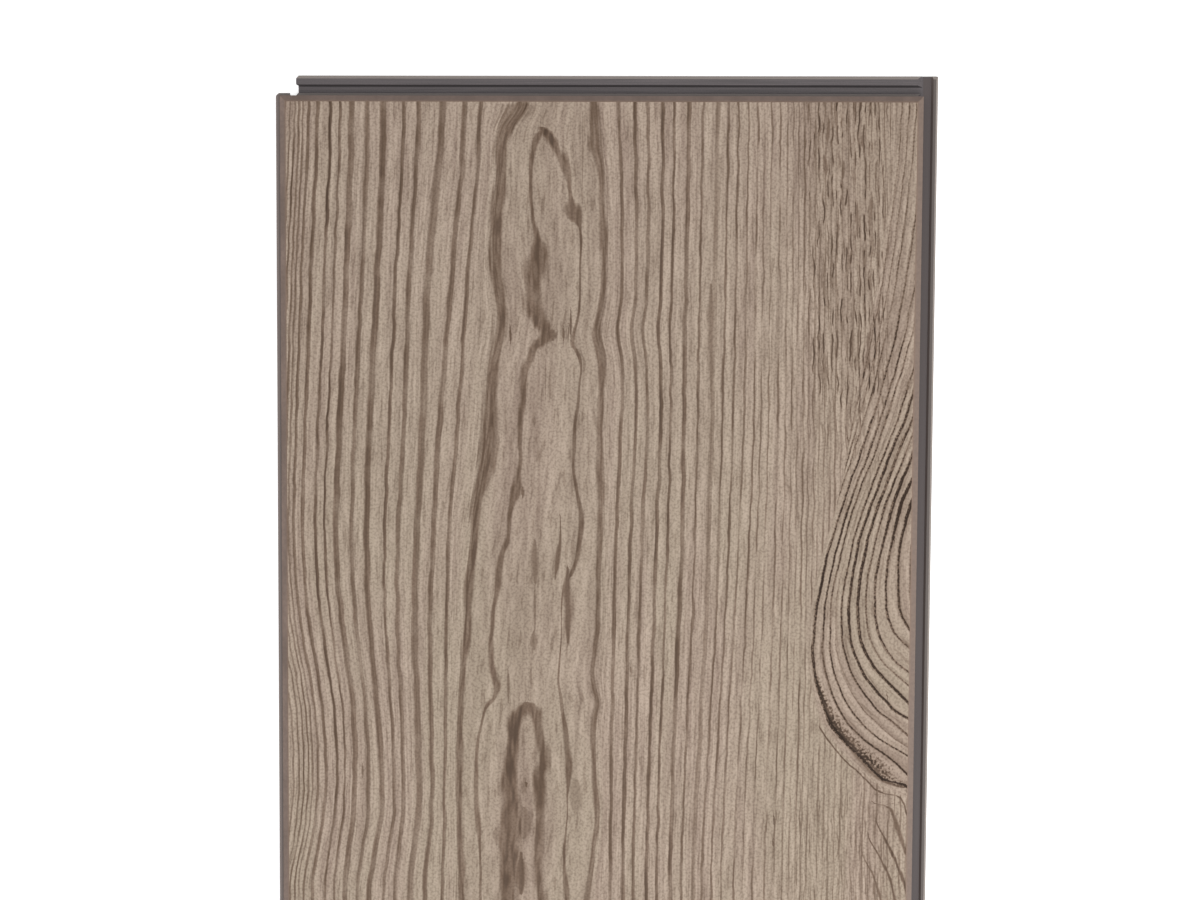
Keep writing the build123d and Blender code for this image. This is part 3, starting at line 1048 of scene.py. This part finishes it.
def core_composite():
    """The grey mineral-filled core: speckled, with marks of the mill and paint dust along its edges. Its
    outward chamfers and the slopes facing left are given painted light, and the side groove and the walls
    facing back towards the face painted shade.
    """
    n = Nodes("core_composite")
    x, y, _ = n.object_place()
    nx, ny, nz = n.facing()
    left, right = DECOR_LOW[0], DECOR_HIGH[0]
    on_side = n.smooth(n.math("ABSOLUTE", x), right - SIDE_START, right)
    along_y = n.noise(x, y, MILL_FINE, MILL_LONG)
    along_x = n.noise(x, y, MILL_LONG, MILL_FINE)
    mill = n.math("ADD", n.product(on_side, along_y), n.product(n.rest(on_side), along_x))
    grit = n.grit(x, y, GRIT_SCALE)
    upward = n.smooth(nz, 0.2, 0.4)
    colour = n.mix(n.smooth(mill, *NOISE_RANGE), CORE_DARK, CORE_LIGHT)
    colour = n.mix(n.smooth(grit, 0.35, 0.7, 0.0, 0.3), colour, CORE_GRIT)
    # Brown tint over the side strip beyond the face's right edge, darkened as painted shade in the groove
    # there
    colour = n.mix(n.smooth(x, right, right + TINT_BLEND, 0.0, 0.7), colour, CORE_SIDE_FLOOR_TINT_AND_SHADE)
    past_floor = n.smooth(x, right + BEAD_RISE[0], right + BEAD_RISE[1])
    colour = n.mix(n.product(past_floor, 0.7), colour, CORE_SIDE_BEAD)
    # Painted light on upward slopes that face outward: the chamfers at the far end and on the side strip's
    # bead
    outward = n.math("ADD", n.product(nx, past_floor), ny)
    tone_shift = n.product(n.smooth(outward, *LEAN), upward)
    colour = n.mix(n.product(tone_shift, 0.8), colour, CORE_LIT_CHAMFER)
    # Painted shadow on upward slopes that face back towards the face: the walls of the far end's groove
    shadowed_wall = n.product(n.smooth(ny, -LEAN[0], -LEAN[1]), upward, 0.85)
    colour = n.mix(shadowed_wall, colour, CORE_GROOVE_SHADOW)
    # Painted light on upward slopes that face left, mostly the side strip's locking wall
    lit_lock_wall = n.product(n.smooth(nx, -LEAN[0], -LEAN[1]), upward, 0.7)
    colour = n.mix(lit_lock_wall, colour, CORE_LOCK_LIT)
    dusted = n.product(n.smooth(x, left, left - TINT_BLEND), n.smooth(mill, 0.2, 0.8, 0.6, 0.9))
    colour = n.mix(dusted, colour, CORE_DUST)
    n.finish(colour, n.smooth(mill, *NOISE_RANGE, 0.5, 0.65), 0.3)
    n.bump(n.math("ADD", mill, grit), 0.25, CORE_RELIEF)
    return n.material


# Pieces


def make_decor():
    """The printed wear layer, in place of the plain one."""
    xs, ys = face_grid()
    mesh = decor_mesh(xs, ys)
    add_grain(mesh, xs, ys)
    mesh.materials.append(pine_print())
    mesh.materials.append(bevel_paint())
    piece = bpy.data.objects.new("decor_print", mesh)
    bpy.context.collection.objects.link(piece)
    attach(piece, "root")
    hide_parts("decor_face")


def dress_core():
    """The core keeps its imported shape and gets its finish."""
    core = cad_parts["core_board"]
    core.data.materials.clear()
    core.data.materials.append(core_composite())


# Stage, light and camera


def make_floor():
    """A plain white floor that glows a little, like a light table, so that shadows hardly show."""
    mesh = bpy.data.meshes.new("floor")
    half = FLOOR_HALF
    corners = [(-half, -half, 0), (half, -half, 0), (half, half, 0), (-half, half, 0)]
    mesh.from_pydata(corners, [], [(0, 1, 2, 3)])
    n = Nodes("floor_white")
    n.finish((0.95, 0.95, 0.95, 1), 0.9, 0.0)
    n.shader.inputs["Emission Color"].default_value = (1, 1, 1, 1)
    n.shader.inputs["Emission Strength"].default_value = FLOOR_GLOW
    mesh.materials.append(n.material)
    floor = bpy.data.objects.new("floor", mesh)
    bpy.context.collection.objects.link(floor)


def make_light():
    """White surroundings and one large softbox, in front and to the right."""
    world = bpy.data.worlds.new("studio")
    world.use_nodes = True
    background = world.node_tree.nodes["Background"]
    background.inputs["Color"].default_value = (1, 1, 1, 1)
    background.inputs["Strength"].default_value = WORLD_STRENGTH
    bpy.context.scene.world = world
    softbox = bpy.data.lights.new("softbox", "AREA")
    softbox.shape = "RECTANGLE"
    softbox.size = SOFTBOX_SIZE
    softbox.size_y = SOFTBOX_SIZE
    softbox.energy = SOFTBOX_WATTS
    lamp = bpy.data.objects.new("softbox", softbox)
    lamp.location = SOFTBOX_PLACE
    lamp.rotation_euler = (Vector(SOFTBOX_AIM) - lamp.location).to_track_quat("-Z", "Y").to_euler()
    bpy.context.collection.objects.link(lamp)


def make_camera():
    """The photo's view of the plank's far end."""
    data = bpy.data.cameras.new("camera")
    data.lens = LENS_MM
    data.sensor_width = SENSOR_MM
    data.clip_start = 0.01
    camera = bpy.data.objects.new("camera", data)
    camera.location = CAMERA_PLACE
    camera.rotation_euler = camera_turn
    bpy.context.collection.objects.link(camera)
    bpy.context.scene.camera = camera


make_decor()
dress_core()
make_floor()
make_light()
make_camera()
bpy.context.scene.view_settings.view_transform = "Standard"
